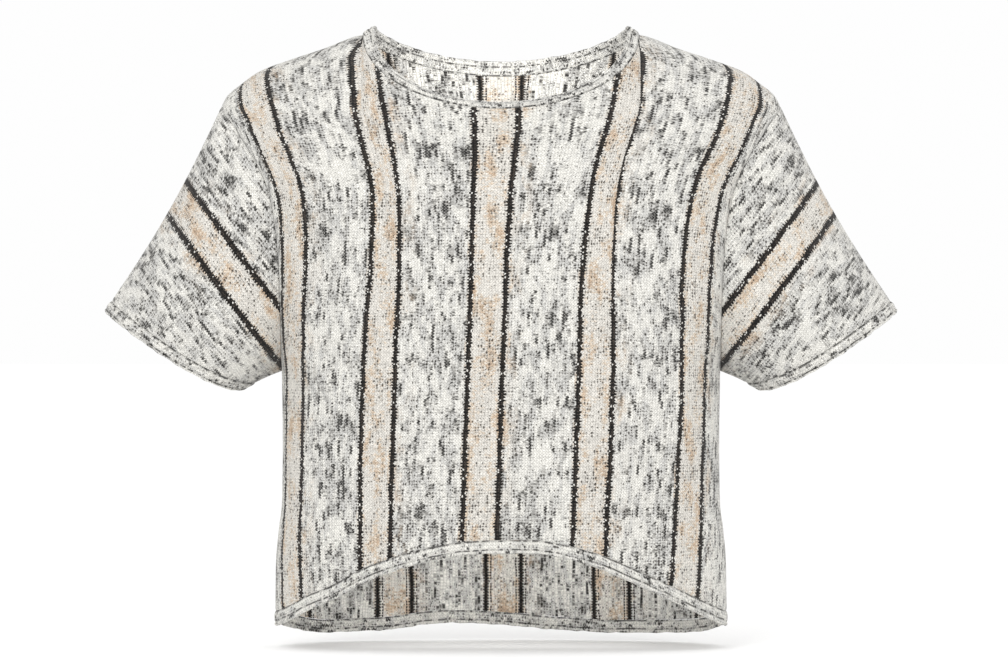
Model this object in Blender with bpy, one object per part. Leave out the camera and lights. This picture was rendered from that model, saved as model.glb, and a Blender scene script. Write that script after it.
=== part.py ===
"""A short-sleeved crew neck jumper in striped melange knit, worn and hollow, with no wearer.

Sizes are in millimetres. +X is the photo's right, the front faces -Y, +Z is up. The origin lies on the
middle plane between the two shoulders, level with the cloth beside the neckband.
"""

import math

import bmesh
import bpy
import numpy as np

MM = 0.001
WALL = 2.4  # thickness of the knit
GAP = 0.3  # between two pieces at a seam
LEAST_MITRE = 0.6  # the least cosine of half the angle between two walls that meet

# The neck opening, at the seam of the neckband.
NECK_HALF_WIDTH = 115.0
NECK_TOP = 1.0
FRONT_NECK_DROP = 65.0
BACK_NECK_DROP = 30.5
BACK_NECK_SHAPE = 1.6  # over 1 flattens the corners of the back neckline
NECK_DEPTH = 68.0  # front or back from the middle
NECKBAND_WIDTH = 12.5
NECKBAND_LIFT = (20, 38, 70)  # degrees above level in front, at the shoulder and behind
NECKBAND_TURN = 6.0  # width over which it turns from the panel's slope to its own

HEM_BAND_HEIGHT = 11.0
CUFF_BAND_WIDTH = 10.0
BAND_PUFF = 0.8  # how far a band stands proud of the panel
PUFF_FULLNESS = 0.7  # exponent of the puff's arch; under 1 broadens it
EDGE_ROUNDING = 0.8

ARMPIT_HEIGHT = -279.0
SHOULDER_TIP_HEIGHT = -57.0
SHOULDER_ROUNDING = 100.0  # height over which the shoulder turns from level to upright
OVAL = 2.35  # exponent of the body's section, where 2 is an ellipse

# Height of the shoulder line at a distance from the middle; inside the neck it only guides the rounding.
RIDGE = {
    "out": (0, 60, 105, 115, 120, 146, 176, 202, 216, 228, 232),
    "height": (22, 15, 4, NECK_TOP, 0, -10, -20, -30, -40, -50, SHOULDER_TIP_HEIGHT),
}

# The panels' side edge, an armhole above the armpit and a side seam below it, and the body's half width.
SIDES = {
    "height": (-505, -440, -410, -390, -340, -279, -253, -225, -195, -165, -132, -107, -80, -57, 25),
    "edge": (188, 187.5, 185, 182.5, 181.7, 182.5, 181.8, 182, 183, 185.5, 191.5, 202, 219, 232, 232),
    "half_width": (188, 187.5, 185, 182.5, 181.7, 182.5, 188, 195, 199, 202, 208, 220, 236, 248, 250),
}

# How far the front and the back stand from the middle plane.
DEPTHS = {
    "height": (-505, -427, -360, -300, -240, -190, -140, -100, -64, -30, 0, 25),
    "front": (98, 99, 100, 102, 105, 105, 99, 89, 77, 68, 58, 40),
    "back": (93, 87, 83, 85, 90, 92, 90, 84, 76, 66, 56, 45),
}

# Lower edge of the hem bands.
FRONT_HEM = {
    "across": (-188, -170, -154, -138, -106, -76, -46, -26, 0, 26, 46, 76, 106, 138, 154, 170, 188),
    "height": (-491, -482, -473, -466, -449, -438, -431, -428, -427,
               -427, -430, -438, -451, -466, -474, -482, -491),
}
BACK_HEM = {
    "across": (-188, -172, -150, -103, -44, 0, 46, 95, 150, 174, 188),
    "height": (-491, -497, -501, -500, -494, -496, -500, -502, -501, -498, -491),
}

# Soft troughs (depth over 0) and ridges (under 0) in the cloth, each a rounded streak.
FRONT_FOLDS = (
    {"across": -150, "height": -262, "lean": 52, "half_length": 48, "half_width": 9, "depth": 3.5},
    {"across": 148, "height": -258, "lean": -50, "half_length": 52, "half_width": 9, "depth": 3.2},
    {"across": -166, "height": -330, "lean": 8, "half_length": 70, "half_width": 10, "depth": 2.6},
    {"across": 163, "height": -345, "lean": -7, "half_length": 78, "half_width": 11, "depth": 2.4},
    {"across": -112, "height": -400, "lean": 4, "half_length": 80, "half_width": 15, "depth": 2.8},
    {"across": 118, "height": -405, "lean": -5, "half_length": 75, "half_width": 14, "depth": 2.6},
    {"across": -52, "height": -395, "lean": 2, "half_length": 60, "half_width": 17, "depth": -1.8},
    {"across": 58, "height": -390, "lean": -3, "half_length": 66, "half_width": 16, "depth": -2.0},
)
BACK_FOLDS = (
    {"across": -152, "height": -250, "lean": 48, "half_length": 55, "half_width": 10, "depth": 4.0},
    {"across": 150, "height": -247, "lean": -46, "half_length": 52, "half_width": 10, "depth": 4.2},
    {"across": -128, "height": -450, "lean": 3, "half_length": 120, "half_width": 15, "depth": -3.5},
    {"across": -48, "height": -440, "lean": 2, "half_length": 130, "half_width": 17, "depth": 5.0},
    {"across": 22, "height": -455, "lean": -2, "half_length": 110, "half_width": 16, "depth": -3.0},
    {"across": 92, "height": -445, "lean": -3, "half_length": 125, "half_width": 16, "depth": 4.2},
    {"across": 150, "height": -455, "lean": -5, "half_length": 90, "half_width": 13, "depth": -3.0},
)

# The cuff's rim in the front view, for the sleeve at +X: across and height of its two ends.
CUFF_TOP = (330.0, -229.0)
CUFF_BOTTOM = (213.0, -293.5)
CUFF_HALF_DEPTH = 49.0
CUFF_DIP = {"front": 8.5, "back": 4.0}  # how far the rim hangs below the line between its ends
CUFF_DIP_SKEW = 0.6  # moves the dip towards the underarm
SLEEVE_FLARE = 5.0  # how far the top line dips between shoulder and cuff
SLEEVE_FULLNESS = 7.0  # how far front and back swell there
UNDERARM_SAG = -1.0

SHOULDER_COLUMNS = 8
NECK_COLUMNS = 20
ROWS_BELOW_ARMPIT = 9
ROWS_ABOVE_ARMPIT = 12
SLEEVE_ROWS = 8
CLUSTER_AT_TOP = 1.7  # rows crowd where the shoulder rounds over
BAND_ROWS = (0, 0.2, 0.5, 0.8, 1)  # places across a band, from its seam to its free edge
TOP_PASSES, HEM_PASSES = 40, 12  # repeats that settle where a column meets its upper and lower edge
SPLIT_WAY = (0.37, 0.11, 1.0)  # a direction along no edge, which decides how a rim's stretches are split
SHARP_EDGE = 50  # degrees

BODY_COLOUR = (0.78, 0.76, 0.72)
BAND_COLOUR = (0.66, 0.65, 0.63)
KNIT_ROUGHNESS = 0.92


def eased(places, values, at):
    """A smooth curve through a table's points, with no overshoot between them."""
    x, y = np.asarray(places, float), np.asarray(values, float)
    step = np.diff(x)
    slope = np.diff(y) / step
    tangent = np.zeros_like(y)
    before, after = slope[:-1], slope[1:]
    turns = before * after <= 0
    safe_before, safe_after = np.where(turns, 1, before), np.where(turns, 1, after)
    weight_before, weight_after = 2 * step[1:] + step[:-1], step[1:] + 2 * step[:-1]
    mean = (weight_before + weight_after) / (weight_before / safe_before + weight_after / safe_after)
    tangent[1:-1] = np.where(turns, 0, mean)
    tangent[0], tangent[-1] = slope[0], slope[-1]
    at = np.clip(at, x[0], x[-1])
    cell = np.clip(np.searchsorted(x, at) - 1, 0, len(step) - 1)
    t = (at - x[cell]) / step[cell]
    start = y[cell] + t * t * (3 - 2 * t) * (y[cell + 1] - y[cell])
    bend = t * (1 - t) ** 2 * tangent[cell] - t * t * (1 - t) * tangent[cell + 1]
    return start + bend * step[cell]


def folds_at(folds, across, height):
    """How far the cloth falls in at a point, from all the folds of its panel."""
    total = np.zeros(np.broadcast(across, height).shape)
    for fold in folds:
        lean = math.radians(fold["lean"])
        dx, dz = across - fold["across"], height - fold["height"]
        along = dz * math.cos(lean) - dx * math.sin(lean)
        aside = dx * math.cos(lean) + dz * math.sin(lean)
        streak = np.exp(-((along / fold["half_length"]) ** 2) - (aside / fold["half_width"]) ** 2)
        total += fold["depth"] * streak
    return total


def depth_at(side, across, height):
    """Distance of the cloth's outer face from the middle plane; side is front or back."""
    out = np.abs(across)
    half_width = eased(SIDES["height"], SIDES["half_width"], height)
    oval = (1 - np.clip(out / half_width, 0, 1) ** OVAL) ** (1 / OVAL)
    below_ridge = (eased(RIDGE["out"], RIDGE["height"], out) - height) / SHOULDER_ROUNDING
    rounding = np.sqrt(1 - (1 - np.clip(below_ridge, 0, 1)) ** 2)
    folds = FRONT_FOLDS if side == "front" else BACK_FOLDS
    whole = eased(DEPTHS["height"], DEPTHS[side], height) - folds_at(folds, across, height)
    return whole * oval * rounding


def neckline(side, across):
    """Height of the neckband's seam."""
    inside = np.clip(1 - (across / NECK_HALF_WIDTH) ** 2, 0, 1)
    if side == "front":
        return NECK_TOP - FRONT_NECK_DROP * np.sqrt(inside)
    return NECK_TOP - BACK_NECK_DROP * inside ** (BACK_NECK_SHAPE / 2)


def column_places():
    """Each column's place across a panel, as a share of the distance from the middle to the edge."""
    corner = NECK_HALF_WIDTH / SIDES["edge"][-1]
    turn = np.linspace(0, math.pi / 2, SHOULDER_COLUMNS + 1)[1:]
    outer = corner + (1 - corner) * np.sin(turn)
    middle = corner * np.sin(np.linspace(-math.pi / 2, math.pi / 2, NECK_COLUMNS + 1))
    return np.concatenate([-outer[::-1], middle, outer])


def at_height(places, height):
    return places * eased(SIDES["height"], SIDES["edge"], height)


def top_heights(side, places):
    """Where each column meets the neckline or the shoulder line."""
    height = np.zeros_like(places)
    for _ in range(TOP_PASSES):
        across = at_height(places, height)
        in_neck = np.abs(across) < NECK_HALF_WIDTH - 1e-6
        shoulder = eased(RIDGE["out"], RIDGE["height"], np.abs(across))
        wanted = np.where(in_neck, neckline(side, across), shoulder)
        height = 0.5 * (height + wanted)
    return height


def hem_heights(hem, places):
    """Lower edge of the hem band, and the height that the band takes up, for each column."""
    low = np.full_like(places, hem["height"][0])
    for _ in range(HEM_PASSES):
        low = eased(hem["across"], hem["height"], at_height(places, low))
    across = at_height(places, low)
    slope = np.gradient(low, across)
    return low, HEM_BAND_HEIGHT * np.sqrt(1 + slope**2)


def placed(side, places, heights):
    """Points on the outer face of a panel, for an array of columns and heights."""
    across = at_height(places, heights)
    depth = np.maximum(depth_at(side, across, heights), GAP / 2)
    return np.stack([across, -depth if side == "front" else depth, heights], axis=-1)


def panel_grid(side, places):
    """Outer points of a panel with its hem band: rows from the hem to the top, columns left to right."""
    top = top_heights(side, places)
    low, band_height = hem_heights(FRONT_HEM if side == "front" else BACK_HEM, places)
    seam = low + band_height
    band = low + band_height * (1 - np.array(BAND_ROWS)[:0:-1, None])
    lower = seam + (ARMPIT_HEIGHT - seam) * np.linspace(0, 1, ROWS_BELOW_ARMPIT + 1)[:-1, None]
    above = 1 - (1 - np.linspace(0, 1, ROWS_ABOVE_ARMPIT + 1)[:, None]) ** CLUSTER_AT_TOP
    heights = np.concatenate([band, lower, ARMPIT_HEIGHT + (top - ARMPIT_HEIGHT) * above])
    return placed(side, np.broadcast_to(places, heights.shape), heights)


def unit(vectors):
    return vectors / np.maximum(np.linalg.norm(vectors, axis=-1, keepdims=True), 1e-9)


def level_part(vectors):
    return vectors * np.array([1, 1, 0])


def faces_out(grid, ring=False):
    """Unit normals of a grid of points. Rows run up and columns to the right, seen from outside."""
    up = np.gradient(grid, axis=0)
    if ring:
        right = np.roll(grid, -1, axis=1) - np.roll(grid, 1, axis=1)
    else:
        right = np.gradient(grid, axis=1)
    return unit(np.cross(right, up))


def keep_to_side(side, points):
    """Stops a panel's points half a gap short of the middle plane, where front meets back."""
    points = points.copy()
    if side == "front":
        points[..., 1] = np.minimum(points[..., 1], -GAP / 2)
    else:
        points[..., 1] = np.maximum(points[..., 1], GAP / 2)
    return points


def rim_triangles(points, near, near_in, far, far_in):
    """Two triangles for one stretch of a wall's rim, split the same way on both sides of a seam."""
    way = np.array(SPLIT_WAY)
    if points[near] @ way > points[far] @ way:
        return (near, near_in, far_in), (near, far_in, far)
    return (far, near, near_in), (far, near_in, far_in)


def shell(name, outside, inside, material, ring=False):
    """One closed wall between two grids of points. A ring's last column joins its first."""
    rows, columns = outside.shape[:2]
    points = np.concatenate([outside.reshape(-1, 3), inside.reshape(-1, 3)]) * MM
    second = rows * columns
    span = columns if ring else columns - 1
    index = np.arange(second).reshape(rows, columns)
    faces = []
    for row in range(rows - 1):
        for column in range(span):
            a, b = index[row, column], index[row, (column + 1) % columns]
            faces.append((a, b, b + columns, a + columns))
            faces.append((second + a, second + a + columns, second + b + columns, second + b))
    rims = []
    for row in (0, rows - 1):
        rims += [(index[row, column], index[row, (column + 1) % columns]) for column in range(span)]
    if not ring:
        for column in (0, columns - 1):
            rims += [(index[row, column], index[row + 1, column]) for row in range(rows - 1)]
    for a, b in rims:
        faces += rim_triangles(points, a, second + a, b, second + b)
    mesh = bpy.data.meshes.new(name)
    mesh.from_pydata(points.tolist(), [], [[int(corner) for corner in face] for face in faces])
    shaped = bmesh.new()
    shaped.from_mesh(mesh)
    bmesh.ops.recalc_face_normals(shaped, faces=shaped.faces)
    shaped.to_mesh(mesh)
    shaped.free()
    mesh.materials.append(material)
    mesh.shade_smooth()
    mesh.set_sharp_from_angle(angle=math.radians(SHARP_EDGE))
    piece = bpy.data.objects.new(name, mesh)
    bpy.context.scene.collection.objects.link(piece)
    return piece


def knit(name, colour):
    material = bpy.data.materials.new(name)
    material.use_nodes = True
    shader = material.node_tree.nodes["Principled BSDF"]
    shader.inputs["Base Color"].default_value = (*colour, 1)
    shader.inputs["Roughness"].default_value = KNIT_ROUGHNESS
    shader.inputs["Metallic"].default_value = 0
    return material


def round_armhole(grids, armpit, column):
    """The points of a seam ring from the shoulder tip down the front edge and up the back edge."""
    down = grids["front"][armpit:, column][::-1]
    up = grids["back"][armpit:, column][1:-1]
    ring = np.concatenate([down, up])
    ring[[0, ROWS_ABOVE_ARMPIT], 1] = 0
    return ring


def round_neck(grids):
    """The points of the neckline from its left corner over the front and back over the back."""
    first, last = SHOULDER_COLUMNS, SHOULDER_COLUMNS + NECK_COLUMNS
    ring = np.concatenate([grids["front"][-1, first:last], grids["back"][-1, last:first:-1]])
    ring[[0, NECK_COLUMNS], 1] = 0
    return ring


def halves(ring, corner):
    """A seam ring's front half and back half, each from one corner to the other."""
    return ring[: corner + 1], np.roll(ring, -corner, axis=0)[: corner + 1]


def cuff_rim(turn, sign):
    """Points of the rim at an angle round it, from the top over the front to the underarm and the back."""
    top, bottom = np.array(CUFF_TOP), np.array(CUFF_BOTTOM)
    reach = (top - bottom) / 2
    outward = unit(np.array([-reach[1], reach[0]]))
    outward = -outward * np.sign(outward[1])
    sine, cosine = np.sin(turn), np.cos(turn)
    dip = np.where(sine > 0, CUFF_DIP["front"], CUFF_DIP["back"]) * np.abs(sine)
    in_view = (top + bottom) / 2 + cosine[:, None] * reach
    in_view = in_view + (dip * (1 - CUFF_DIP_SKEW * cosine))[:, None] * outward
    return np.stack([sign * in_view[:, 0], -CUFF_HALF_DEPTH * sine, in_view[:, 1]], axis=-1)


def sleeve_grid(ring, sign):
    """Outer points of a sleeve with its cuff band: rows from the armhole to the rim, columns round it."""
    step = np.linalg.norm(np.roll(ring, -1, axis=0) - ring, axis=-1)
    passed = np.concatenate([[0], np.cumsum(step)[:-1]])
    half = passed[ROWS_ABOVE_ARMPIT]
    rest = step.sum() - half
    turn = np.where(passed <= half, passed / half, 1 + (passed - half) / rest) * math.pi
    rim = cuff_rim(turn, sign)
    length = np.linalg.norm(rim - ring, axis=-1)
    seam = 1 - CUFF_BAND_WIDTH / length
    sleeve = np.linspace(0, 1, SLEEVE_ROWS + 1)[:, None] * seam
    band = seam + (1 - seam) * np.array(BAND_ROWS)[1:, None]
    share = np.concatenate([sleeve, band])
    grid = ring + (rim - ring) * share[..., None]
    swell = np.sin(math.pi * share)
    grid[..., 1] -= swell * SLEEVE_FULLNESS * np.sin(turn)
    over = np.clip(np.cos(turn), 0, 1) ** 2 * SLEEVE_FLARE
    under = np.clip(-np.cos(turn), 0, 1) ** 2 * UNDERARM_SAG
    across = unit(np.array([sign * (CUFF_TOP[0] - CUFF_BOTTOM[0]), 0, CUFF_TOP[1] - CUFF_BOTTOM[1]]))
    return grid - (swell * (over + under))[..., None] * across


def band_walls(grid, out):
    """The two faces of a band whose rows run from its seam to its free edge: proud and rounded over."""
    share = np.array(BAND_ROWS)[:, None, None]
    puff = BAND_PUFF * np.sin(math.pi * share) ** PUFF_FULLNESS
    rounding = np.where(share == 1, EDGE_ROUNDING, 0)
    return grid + (puff - rounding) * out, grid - (WALL - rounding) * out


def apart_at_seam(band, piece, band_in, piece_in):
    """Moves the two rows of points that meet at a seam apart along the cloth, outer and inner alike."""
    along = unit(piece[1] - piece[0])
    for rows, way in ((band, -1), (band_in, -1), (piece, 1), (piece_in, 1)):
        rows[0] = rows[0] + way * GAP / 2 * along


def mitred(ring, out, next_out, onward):
    """The inner points of a ring where two walls meet at an angle, and the step across half its gap."""
    shared = unit(out + next_out)
    half_angle = np.clip(np.sum(shared * out, axis=-1, keepdims=True), LEAST_MITRE, 1)
    along = np.roll(ring, -1, axis=0) - np.roll(ring, 1, axis=0)
    away = unit(np.cross(along, shared))
    away *= np.sign(np.sum(away * onward, axis=-1, keepdims=True))
    return ring - WALL / half_angle * shared, away * GAP / 2


def sleeve_walls(ring, body_out, sign):
    """Faces of a sleeve and of its cuff, and the seam that it shares with the panels."""
    grid = sleeve_grid(ring, sign)
    out = faces_out(grid, ring=True)
    out *= np.sign(np.sum(out * (grid - grid.mean(axis=1, keepdims=True))))
    seam_in, step = mitred(ring, body_out, out[0], grid[1] - grid[0])
    inside = grid - WALL * out
    grid[0], inside[0] = ring + step, seam_in + step
    sleeve, sleeve_in = grid[: SLEEVE_ROWS + 1][::-1].copy(), inside[: SLEEVE_ROWS + 1][::-1].copy()
    cuff, cuff_in = band_walls(grid[SLEEVE_ROWS:], out[SLEEVE_ROWS:])
    apart_at_seam(cuff, sleeve, cuff_in, sleeve_in)
    return (sleeve, sleeve_in), (cuff, cuff_in), (ring - step, seam_in - step)


def neckband_walls(ring, body_out):
    """Faces of the neckband, which rolls in towards the neck, and the seam it shares with the panels."""
    along = unit(np.roll(ring, -1, axis=0) - np.roll(ring, 1, axis=0))
    reaches = np.array([NECK_HALF_WIDTH, NECK_DEPTH, 1])
    oval = level_part(ring) / reaches
    inward = -unit(oval / reaches)
    lift = np.radians(eased((-1, 0, 1), NECKBAND_LIFT, unit(oval)[:, 1]))[:, None]
    settled = np.cos(lift) * inward + np.sin(lift) * np.array([0, 0, 1.0])
    level = unit(np.cross(along, body_out))
    level *= np.sign(np.sum(level * settled, axis=-1, keepdims=True))
    place, reached = ring, 0
    rows, out = [], []
    for share in BAND_ROWS:
        reach = NECKBAND_WIDTH * share
        turned = min(1, reach / NECKBAND_TURN)
        heading = unit(level * (1 - turned) + settled * turned)
        place = place + heading * (reach - reached)
        reached = reach
        normal = unit(np.cross(heading, along))
        rows.append(place)
        out.append(normal * np.sign(np.sum(normal * body_out, axis=-1, keepdims=True)))
    seam_in, step = mitred(ring, body_out, out[1], rows[1] - rows[0])
    band, band_in = band_walls(np.array(rows), np.array(out))
    band[0], band_in[0] = ring + step, seam_in + step
    return (band, band_in), (ring - step, seam_in - step)


def build_sleeves(outer, inner, out, armpit, body_knit, band_knit):
    """Both sleeves with their cuffs; moves the panels' edges to the seams."""
    for name, sign, column in (("left", -1, 0), ("right", 1, -1)):
        ring = round_armhole(outer, armpit, column)
        body_out = unit(round_armhole(out, armpit, column))
        sleeve, cuff, seam = sleeve_walls(ring, body_out, sign)
        shell(f"sleeve_{name}", *sleeve, body_knit, ring=True)
        shell(f"cuff_{name}", *cuff, band_knit, ring=True)
        for grids, points in zip((outer, inner), seam):
            down, up = halves(points, ROWS_ABOVE_ARMPIT)
            grids["front"][armpit:, column] = down[::-1]
            grids["back"][armpit:, column] = up


def build_neckband(outer, inner, out, band_knit):
    """The neckband; moves the panels' top edges to its seam."""
    neckband, seam = neckband_walls(round_neck(outer), unit(round_neck(out)))
    shell("neckband", *neckband, band_knit, ring=True)
    first, last = SHOULDER_COLUMNS, SHOULDER_COLUMNS + NECK_COLUMNS
    for grids, points in zip((outer, inner), seam):
        front, back = halves(points, NECK_COLUMNS)
        grids["front"][-1, first : last + 1] = front
        grids["back"][-1, first : last + 1] = back[::-1]


def build_panels(outer, inner, out, band_end, body_knit, band_knit):
    """The front and the back, each with its hem band."""
    for side in outer:
        band, band_in = band_walls(outer[side][band_end::-1], out[side][band_end::-1])
        panel, panel_in = outer[side][band_end:].copy(), inner[side][band_end:].copy()
        apart_at_seam(band, panel, band_in, panel_in)
        shell(f"{side}_panel", keep_to_side(side, panel), keep_to_side(side, panel_in), body_knit)
        shell(f"{side}_hem_band", keep_to_side(side, band), keep_to_side(side, band_in), band_knit)


def main():
    for old in list(bpy.data.objects):
        bpy.data.objects.remove(old)
    body_knit, band_knit = knit("melange_knit", BODY_COLOUR), knit("band_knit", BAND_COLOUR)
    places = column_places()
    band_end = len(BAND_ROWS) - 1
    armpit = band_end + ROWS_BELOW_ARMPIT
    outer = {side: panel_grid(side, places) for side in ("front", "back")}
    out = {"front": faces_out(outer["front"]), "back": -faces_out(outer["back"])}
    inner = {side: keep_to_side(side, outer[side] - WALL * out[side]) for side in outer}
    build_sleeves(outer, inner, out, armpit, body_knit, band_knit)
    build_neckband(outer, inner, out, band_knit)
    build_panels(outer, inner, out, band_end, body_knit, band_knit)


main()
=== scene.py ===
"""The looks of a short-sleeved crew neck jumper in striped melange knit, worn and hollow.

Shapes are worked out in millimetres, in the frame of the solids: +X is the photo's right, the front
faces -Y and +Z is up. The garment is knitted sideways, so its courses run down the body and its stitches
point across it. Pattern places are counted in stitches: courses across the stripes, wales along them.
"""

import math

import bmesh
import bpy
import numpy as np
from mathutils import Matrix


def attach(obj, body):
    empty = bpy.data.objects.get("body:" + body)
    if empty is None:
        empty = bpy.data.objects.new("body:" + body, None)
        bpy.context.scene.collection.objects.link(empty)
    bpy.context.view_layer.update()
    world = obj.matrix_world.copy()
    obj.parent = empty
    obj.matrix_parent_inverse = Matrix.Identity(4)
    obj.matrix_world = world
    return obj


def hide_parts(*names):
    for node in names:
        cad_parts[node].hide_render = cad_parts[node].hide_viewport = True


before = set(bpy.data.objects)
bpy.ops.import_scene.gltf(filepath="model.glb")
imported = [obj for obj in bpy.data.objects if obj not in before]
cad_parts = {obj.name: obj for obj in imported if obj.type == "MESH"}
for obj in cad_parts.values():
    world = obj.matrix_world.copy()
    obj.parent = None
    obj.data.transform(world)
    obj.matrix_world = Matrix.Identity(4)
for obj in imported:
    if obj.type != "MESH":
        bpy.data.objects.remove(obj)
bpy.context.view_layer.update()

MM = 0.001
WALL = 2.4  # thickness of the knit
GAP = 0.3  # between two pieces at a seam
SEAM_DIP = 0.45  # how far the cloth dips into a seam
LEAST_MITRE = 0.6  # the least cosine of half the angle between two walls that meet

# The neck opening, at the seam of the neckband.
NECK_HALF_WIDTH = 115.0
NECK_TOP = 1.0
FRONT_NECK_DROP = 65.0
BACK_NECK_DROP = 30.5
BACK_NECK_SHAPE = 1.6  # over 1 flattens the corners of the back neckline
NECK_DEPTH = 68.0  # front or back from the middle
NECKBAND_WIDTH = 12.5
NECKBAND_LIFT = (20, 38, 70)  # degrees above level in front, at the shoulder and behind
NECKBAND_TURN = 6.0  # width over which it turns from the panel's slope to its own

HEM_BAND_HEIGHT = 11.0
CUFF_BAND_WIDTH = 10.0
BAND_PUFF = 0.8  # how far a band stands proud of the panel

ARMPIT_HEIGHT = -279.0
SHOULDER_TIP_HEIGHT = -57.0
SHOULDER_ROUNDING = 100.0  # height over which the shoulder turns from level to upright
OVAL = 2.35  # exponent of the body's section, where 2 is an ellipse

# Height of the shoulder line at a distance from the middle; inside the neck it only guides the rounding.
RIDGE = {
    "out": (0, 60, 105, 115, 120, 146, 176, 202, 216, 228, 232),
    "height": (22, 15, 4, NECK_TOP, 0, -10, -20, -30, -40, -50, SHOULDER_TIP_HEIGHT),
}

# The panels' side edge, an armhole above the armpit and a side seam below it, and the body's half width.
SIDES = {
    "height": (-505, -440, -410, -390, -340, -279, -253, -225, -195, -165, -132, -107, -80, -57, 25),
    "edge": (188, 187.5, 185, 182.5, 181.7, 182.5, 181.8, 182, 183, 185.5, 191.5, 202, 219, 232, 232),
    "half_width": (188, 187.5, 185, 182.5, 181.7, 182.5, 188, 195, 199, 202, 208, 220, 236, 248, 250),
}

# How far the front and the back stand from the middle plane.
DEPTHS = {
    "height": (-505, -427, -360, -300, -240, -190, -140, -100, -64, -30, 0, 25),
    "front": (98, 99, 100, 102, 105, 105, 99, 89, 77, 68, 58, 40),
    "back": (93, 87, 83, 85, 90, 92, 90, 84, 76, 66, 56, 45),
}

# Lower edge of the hem bands.
FRONT_HEM = {
    "across": (-188, -170, -154, -138, -106, -76, -46, -26, 0, 26, 46, 76, 106, 138, 154, 170, 188),
    "height": (-491, -482, -473, -466, -449, -438, -431, -428, -427,
               -427, -430, -438, -451, -466, -474, -482, -491),
}
BACK_HEM = {
    "across": (-188, -172, -150, -103, -44, 0, 46, 95, 150, 174, 188),
    "height": (-491, -497, -501, -500, -494, -496, -500, -502, -501, -498, -491),
}

# Soft troughs (depth over 0) and ridges (under 0) in the cloth, each a rounded streak: its middle across and
# in height, its lean in degrees, its half length, its half width and its depth.
FRONT_FOLDS = (
    (-150, -262, 52, 48, 9, 3.5),
    (148, -258, -50, 52, 9, 3.2),
    (-166, -330, 8, 70, 10, 2.6),
    (163, -345, -7, 78, 11, 2.4),
    (-112, -400, 4, 80, 15, 2.8),
    (118, -405, -5, 75, 14, 2.6),
    (-52, -395, 2, 60, 17, -1.8),
    (58, -390, -3, 66, 16, -2.0),
)
BACK_FOLDS = (
    (-152, -250, 48, 55, 10, 4.0),
    (150, -247, -46, 52, 10, 4.2),
    (-128, -450, 3, 120, 15, -3.5),
    (-48, -440, 2, 130, 17, 5.0),
    (22, -455, -2, 110, 16, -3.0),
    (92, -445, -3, 125, 16, 4.2),
    (150, -455, -5, 90, 13, -3.0),
)

# The cuff's rim in the front view, for the sleeve at +X: across and height of its two ends.
CUFF_TOP = (330.0, -229.0)
CUFF_BOTTOM = (213.0, -293.5)
CUFF_HALF_DEPTH = 49.0
CUFF_DIP = {"front": 8.5, "back": 4.0}  # how far the rim hangs below the line between its ends
CUFF_DIP_SKEW = 0.6  # moves the dip towards the underarm
SLEEVE_FLARE = 5.0  # how far the top line dips between shoulder and cuff
SLEEVE_FULLNESS = 7.0  # how far front and back swell there
UNDERARM_SAG = -1.0

SHOULDER_COLUMNS = 30
NECK_COLUMNS = 96
ROWS_BELOW_ARMPIT = 84
ROWS_ABOVE_ARMPIT = 96
SLEEVE_ROWS = 56
CLUSTER_AT_TOP = 1.7  # rows crowd where the shoulder rounds over
TOP_PASSES, HEM_PASSES = 40, 12  # repeats that settle where a column meets its upper and lower edge
SHARP_EDGE = 70  # degrees

# A band's section from its seam to its free edge: how far its face stands out, as a share of its puff.
BAND_SECTION = {
    "place": (0, 0.05, 0.12, 0.2, 0.3, 0.4, 0.5, 0.6, 0.68, 0.74, 0.8, 0.86, 0.91, 0.95, 0.98, 1),
    "puff": (-0.5, 0.0, 0.5, 0.85, 1.0, 1.0, 0.95, 0.8, 0.45, 0.0, 0.4, 0.75, 0.7, 0.3, -0.4, -1.4),
}
BAND_ROWS = BAND_SECTION["place"]
EDGE_TURN = 0.86  # place across a band where its free edge starts to close
EDGE_CLOSING = 0.35  # share of the wall by which its inner face comes out at the very edge

# The stitch: a wale along the stripes, and on the bands a course across them.
COURSE = WALE = 2.45
REPEAT = 38  # courses from one pair of stripes to the next
PAIR = 12  # courses from one stripe of a pair to the other
FIRST_STRIPE = 1  # course of the first stripe's middle

# The courses lie evenly along the cloth. By height: where the middle pair runs across, and how wide
# a course is to the left and to the right of it.
COURSE_RUN = {
    "front": {
        "height": (-420, -220, -140, -70, -20),
        "middle": (-18, -11, -8, -4, -4),
        "left": (2.35, 2.3, 2.45, 3.0, 3.6),
        "right": (2.4, 2.4, 2.6, 3.1, 3.6),
    },
    "back": {
        "height": (-500, -200, -100, -10),
        "middle": (2, 1, 0, 0),
        "left": (2.5, 2.45, 2.6, 3.2),
        "right": (2.5, 2.45, 2.6, 3.2),
    },
}

# On a sleeve the stripes lie in planes that slant this much, at these distances from the origin.
SLEEVE_ANGLE = math.radians(37)
SLEEVE_SLANT = (math.cos(SLEEVE_ANGLE), math.sin(SLEEVE_ANGLE))
SLEEVE_STRIPES = {"left": (282, 311), "right": (284, 311)}
SLEEVE_SECTION = {"half_depth": 60.0, "radius": 75.0}  # of the section along a stripe


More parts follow.
